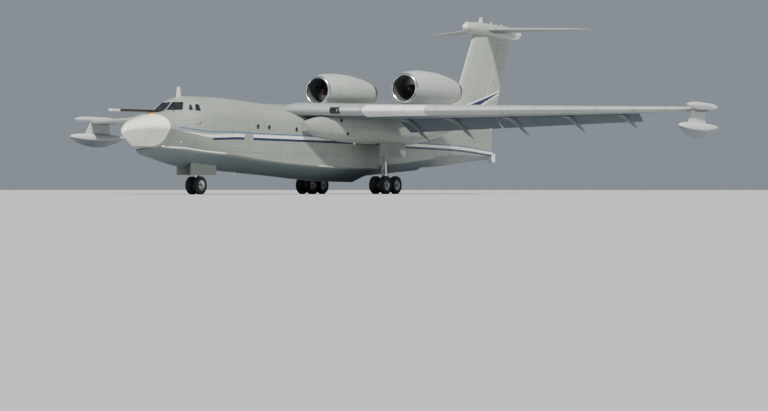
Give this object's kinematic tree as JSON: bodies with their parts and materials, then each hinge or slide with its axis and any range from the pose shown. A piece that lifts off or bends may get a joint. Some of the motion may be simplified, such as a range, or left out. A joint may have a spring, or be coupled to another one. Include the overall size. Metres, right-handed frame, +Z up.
{
  "type": "1:2 scale model of a large twin-jet amphibious flying boat",
  "caption": "Scale model of an amphibious flying boat: stepped hull, high wing with tip floats, two jet engines behind the wing, T-tail and wheeled landing gear.",
  "frame": {"origin": "centre of the bounding box on the floor, under the middle of the aircraft's length", "axes": "+Y towards the tail, -Y towards the nose, +X to the aircraft's left (port) side, +Z up"},
  "size_m": [20.81, 21.9207, 5.545],
  "materials": {
    "hull_paint": "satin grey-white hull paint with blue, white and dark-blue bands",
    "wing_paint": "satin light grey paint",
    "nacelle_paint": "satin grey-white paint with a bare lip",
    "radome_paint": "semi-gloss cream white dielectric paint",
    "glazing": "clear glazing, dark inside",
    "cabin_trim": "dark cabin trim",
    "probe_finish": "satin black paint",
    "burnt_metal": "heat-tinted steel",
    "fan_metal": "satin blades",
    "engine_metal": "plain engine casing",
    "gear_metal": "light grey gear enamel",
    "tyre": "black tyre on a grey hub"
  },
  "bodies": {
    "root": {"radome": "radome_paint", "forward_hull": "hull_paint", "flight_deck_glazing": "glazing", "flight_deck": "cabin_trim", "centre_hull": "hull_paint", "after_hull": "hull_paint", "refuelling_probe": "probe_finish", "wing_left": "wing_paint", "wing_right": "wing_paint", "slat_left": "wing_paint", "slat_right": "wing_paint", "inner_flap_left": "wing_paint", "inner_flap_right": "wing_paint", "outer_flap_left": "wing_paint", "outer_flap_right": "wing_paint", "tip_pod_left": "wing_paint", "tip_pod_right": "wing_paint", "tip_float_left": "wing_paint", "tip_float_right": "wing_paint", "gear_pod_left": "hull_paint", "gear_pod_right": "hull_paint", "booster_nozzle_left": "burnt_metal", "booster_nozzle_right": "burnt_metal", "nacelle_left": "nacelle_paint", "nacelle_right": "nacelle_paint", "engine_block_left": "engine_metal", "engine_block_right": "engine_metal", "engine_pylon_left": "hull_paint", "engine_pylon_right": "hull_paint", "fin": "hull_paint", "tail_bullet": "hull_paint", "tailplane_left": "wing_paint", "tailplane_right": "wing_paint", "nose_leg": "gear_metal", "nose_door_left": "hull_paint", "nose_door_right": "hull_paint", "main_leg_left": "gear_metal", "main_leg_right": "gear_metal", "bogie_beam_left": "gear_metal", "bogie_beam_right": "gear_metal", "outer_gear_door_left": "hull_paint", "outer_gear_door_right": "hull_paint"},
    "fan_left": {"fan_left": "fan_metal"},
    "fan_right": {"fan_right": "fan_metal"},
    "rudder": {"rudder": "hull_paint"},
    "water_rudder": {"water_rudder": "hull_paint"},
    "elevator_left": {"elevator_left": "wing_paint"},
    "elevator_right": {"elevator_right": "wing_paint"},
    "aileron_left": {"aileron_left": "wing_paint"},
    "aileron_right": {"aileron_right": "wing_paint"},
    "nose_fork": {"nose_fork": "gear_metal"},
    "nose_wheels": {"nose_wheels": "tyre"},
    "main_wheels_front_left": {"main_wheels_front_left": "tyre"},
    "main_wheels_front_right": {"main_wheels_front_right": "tyre"},
    "main_wheels_rear_left": {"main_wheels_rear_left": "tyre"},
    "main_wheels_rear_right": {"main_wheels_rear_right": "tyre"}
  },
  "joints": [
    {"name": "rudder_turn", "type": "hinge", "parent": "root", "child": "rudder", "pos_m": [0, 8.183, 2.575], "axis": [0, 0.4412, 0.8974], "range_deg": [-25, 25]},
    {"name": "water_rudder_turn", "type": "hinge", "parent": "root", "child": "water_rudder", "pos_m": [0, 8.97, 1.17], "axis": [0, 0, 1], "range_deg": [-30, 30]},
    {"name": "elevator_left_turn", "type": "hinge", "parent": "root", "child": "elevator_left", "pos_m": [0.075, 9.475, 5.33], "axis": [0.9643, 0.2649, 0], "range_deg": [-20, 25]},
    {"name": "elevator_right_turn", "type": "hinge", "parent": "root", "child": "elevator_right", "pos_m": [-0.075, 9.475, 5.33], "axis": [0.9643, -0.2649, 0], "range_deg": [-20, 25]},
    {"name": "aileron_left_turn", "type": "hinge", "parent": "root", "child": "aileron_left", "pos_m": [8.475, 1.35954, 2.275], "axis": [0.9671, 0.2544, 0], "range_deg": [-20, 20]},
    {"name": "aileron_right_turn", "type": "hinge", "parent": "root", "child": "aileron_right", "pos_m": [-8.475, 1.35954, 2.275], "axis": [0.9671, -0.2544, 0], "range_deg": [-20, 20]},
    {"name": "nose_steering", "type": "hinge", "parent": "root", "child": "nose_fork", "pos_m": [0, -7.4275, 0.5], "axis": [0, 0, 1], "range_deg": [-45, 45]},
    {"name": "nose_wheels_spin", "type": "hinge", "parent": "nose_fork", "child": "nose_wheels", "pos_m": [0, -7.4275, 0.2325], "axis": [1, 0, 0], "continuous": true},
    {"name": "fan_left_spin", "type": "hinge", "parent": "root", "child": "fan_left", "pos_m": [1.475, 1.14, 3.05], "axis": [0, 1, 0], "continuous": true},
    {"name": "fan_right_spin", "type": "hinge", "parent": "root", "child": "fan_right", "pos_m": [-1.475, 1.14, 3.05], "axis": [0, 1, 0], "continuous": true},
    {"name": "main_wheels_front_left_spin", "type": "hinge", "parent": "root", "child": "main_wheels_front_left", "pos_m": [1.24, -0.3, 0.2575], "axis": [1, 0, 0], "continuous": true},
    {"name": "main_wheels_rear_left_spin", "type": "hinge", "parent": "root", "child": "main_wheels_rear_left", "pos_m": [1.24, 0.28, 0.2575], "axis": [1, 0, 0], "continuous": true},
    {"name": "main_wheels_front_right_spin", "type": "hinge", "parent": "root", "child": "main_wheels_front_right", "pos_m": [-1.24, -0.3, 0.2575], "axis": [1, 0, 0], "continuous": true},
    {"name": "main_wheels_rear_right_spin", "type": "hinge", "parent": "root", "child": "main_wheels_rear_right", "pos_m": [-1.24, 0.28, 0.2575], "axis": [1, 0, 0], "continuous": true}
  ],
  "couplings": [
    {"joint": "water_rudder_turn", "follows": "rudder_turn", "ratio": 1.2},
    {"joint": "elevator_right_turn", "follows": "elevator_left_turn", "ratio": 1},
    {"joint": "aileron_right_turn", "follows": "aileron_left_turn", "ratio": -1}
  ]
}
